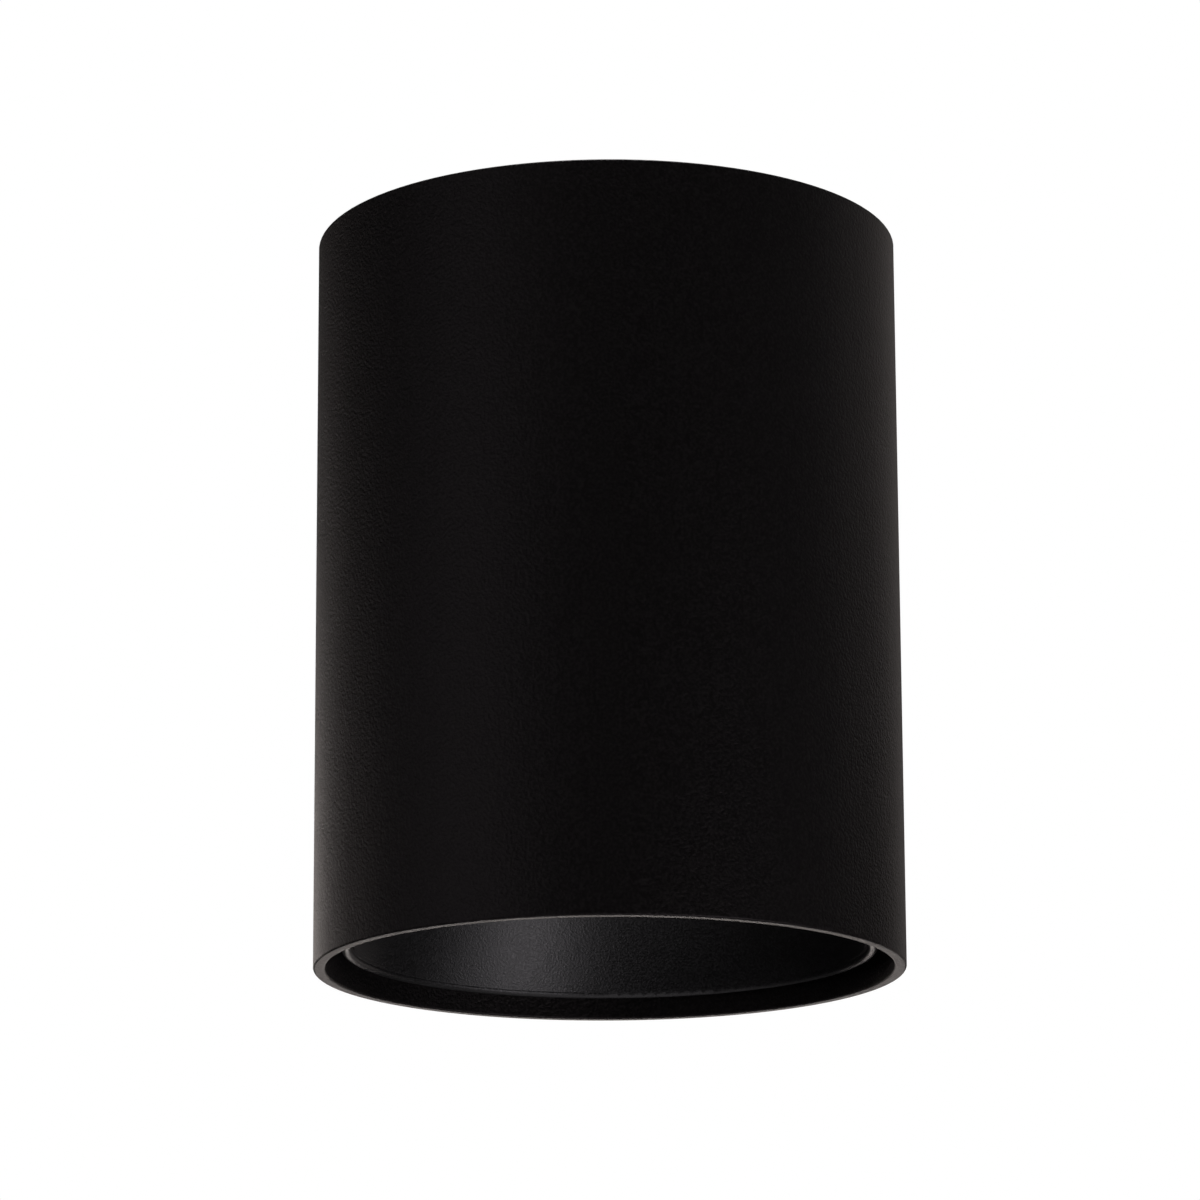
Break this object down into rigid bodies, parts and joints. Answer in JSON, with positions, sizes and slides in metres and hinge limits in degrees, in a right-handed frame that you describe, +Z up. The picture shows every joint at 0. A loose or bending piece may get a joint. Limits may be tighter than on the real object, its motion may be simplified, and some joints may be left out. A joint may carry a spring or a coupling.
{
  "type": "surface-mounted downlight",
  "caption": "Black tube-shaped ceiling downlight with a deep black reflector, hung on a ceiling plate by a twist lock.",
  "frame": {"origin": "middle of the ceiling plate's upper face, between the two screw slots, on the tube's axis", "axes": "+Z up into the ceiling along the tube's axis; +X along the line through the two ceiling screw slots"},
  "size_m": [0.098, 0.098, 0.125],
  "materials": {
    "black_powder_coat": "matte black powder coat with a fine grit",
    "black_reflector": "satin black moulding",
    "opal_diffuser": "opal, satin",
    "zinc_plated_steel": "zinc plated sheet",
    "screw_steel": "zinc plated",
    "spring_steel": "rolled, bright",
    "rivet_aluminium": "satin",
    "black_rubber": "matte",
    "cast_aluminium": "milled, satin",
    "brass_pillar": "turned",
    "insulating_film": "thin film",
    "white_plastic": "fine texture",
    "green_board": "solder mask",
    "ferrite": "ground ferrite",
    "winding_tape": "yellow tape",
    "can_sleeve": "shrunk sleeve",
    "film_case": "moulded",
    "copper_wire": "enamelled wire",
    "black_plastic": "moulded",
    "grey_plastic": "moulded",
    "orange_plastic": "moulded",
    "contact_copper": "tinned copper",
    "brown_insulation": "extruded",
    "blue_insulation": "extruded",
    "green_yellow_insulation": "extruded, two colours",
    "red_insulation": "extruded",
    "black_insulation": "extruded",
    "thermal_rubber": "soft pad",
    "lamp_board_white": "white ceramic",
    "phosphor": "silicone over phosphor"
  },
  "bodies": {
    "ceiling_side": {"mounting_plate": "zinc_plated_steel", "shoulder_studs": "zinc_plated_steel", "preload_springs": "spring_steel", "spring_rivets": "rivet_aluminium", "cable_grommet": "black_rubber"},
    "fitting": {"housing_tube": "black_powder_coat", "bayonet_ring": "zinc_plated_steel", "ring_screws": "screw_steel", "heat_sink": "cast_aluminium", "sink_screws": "screw_steel", "tray_pillars": "brass_pillar", "gear_tray": "zinc_plated_steel", "tray_screws": "screw_steel", "insulating_sheet": "insulating_film", "driver_base": "white_plastic", "driver_cover": "white_plastic", "driver_screws": "screw_steel", "driver_board": "green_board", "transformer_core": "ferrite", "transformer_winding": "winding_tape", "reservoir_capacitor": "can_sleeve", "output_capacitor": "can_sleeve", "film_capacitor": "film_case", "filter_choke": "copper_wire", "driver_chips": "black_plastic", "selector_body": "black_plastic", "terminal_block": "grey_plastic", "contact_bars": "contact_copper", "clamp_springs": "spring_steel", "lever_pin": "spring_steel", "block_screws": "screw_steel", "line_lead": "brown_insulation", "neutral_lead": "blue_insulation", "earth_lead": "green_yellow_insulation", "earth_lug": "contact_copper", "earth_washer": "screw_steel", "earth_screw": "screw_steel", "cable_clamp": "black_plastic", "clamp_screw": "screw_steel", "positive_lead": "red_insulation", "negative_lead": "black_insulation", "thermal_pad": "thermal_rubber", "led_board": "lamp_board_white", "led_emitter": "phosphor", "led_holder": "white_plastic", "holder_screws": "screw_steel"},
    "reflector_unit": {"reflector": "black_reflector", "diffuser": "opal_diffuser"},
    "selector": {"selector_slider": "white_plastic"},
    "line_lever_body": {"line_lever": "orange_plastic"},
    "neutral_lever_body": {"neutral_lever": "orange_plastic"},
    "earth_lever_body": {"earth_lever": "orange_plastic"}
  },
  "joints": [
    {"name": "housing_twist", "type": "hinge", "parent": "ceiling_side", "child": "fitting", "pos_m": [0, 0, 0], "axis": [0, 0, 1], "range_deg": [-18, 0]},
    {"name": "reflector_twist", "type": "hinge", "parent": "fitting", "child": "reflector_unit", "pos_m": [0, 0, -0.0752], "axis": [0, 0, 1], "range_deg": [-25, 0]},
    {"name": "selector_slide", "type": "slide", "parent": "fitting", "child": "selector", "axis": [0, 1, 0], "range_m": [-0.002, 0.002]},
    {"name": "line_lever_lift", "type": "hinge", "parent": "fitting", "child": "line_lever_body", "pos_m": [-0.009, 0.0264, -0.0387], "axis": [-1, 0, 0], "range_deg": [0, 80]},
    {"name": "neutral_lever_lift", "type": "hinge", "parent": "fitting", "child": "neutral_lever_body", "pos_m": [0, 0.0264, -0.0387], "axis": [-1, 0, 0], "range_deg": [0, 80]},
    {"name": "earth_lever_lift", "type": "hinge", "parent": "fitting", "child": "earth_lever_body", "pos_m": [0.009, 0.0264, -0.0387], "axis": [-1, 0, 0], "range_deg": [0, 80]}
  ]
}
